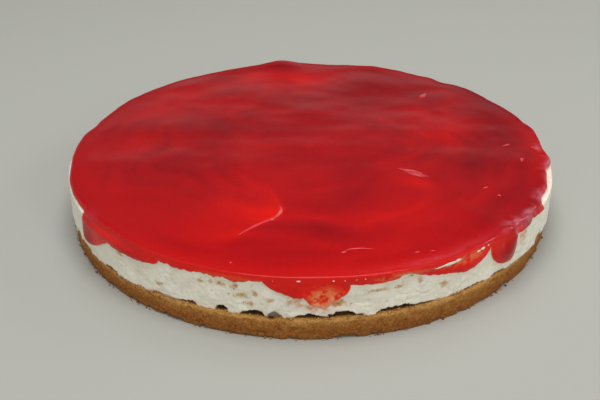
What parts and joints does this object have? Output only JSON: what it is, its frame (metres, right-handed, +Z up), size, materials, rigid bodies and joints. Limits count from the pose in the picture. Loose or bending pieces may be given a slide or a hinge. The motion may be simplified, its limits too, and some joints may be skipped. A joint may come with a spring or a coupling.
{
  "type": "cheesecake",
  "caption": "Whole round cream cheesecake on a flat biscuit base, with a glossy red jelly topping that has run down its side in tongues.",
  "frame": {"origin": "middle of the flat underside, where the cake rests", "axes": "+Z up through the layers; -Y is the side that faces the viewer, with the deepest tongues of jelly"},
  "size_m": [0.2635, 0.2622, 0.0349],
  "materials": {
    "biscuit": "dry, crumbly golden-brown crumb",
    "cream": "satin, slightly torn cream",
    "jelly": "wet, glossy clear red jelly"
  },
  "bodies": {
    "root": {"biscuit_base": "biscuit", "cream_filling": "cream", "jelly_topping": "jelly"}
  },
  "joints": []
}
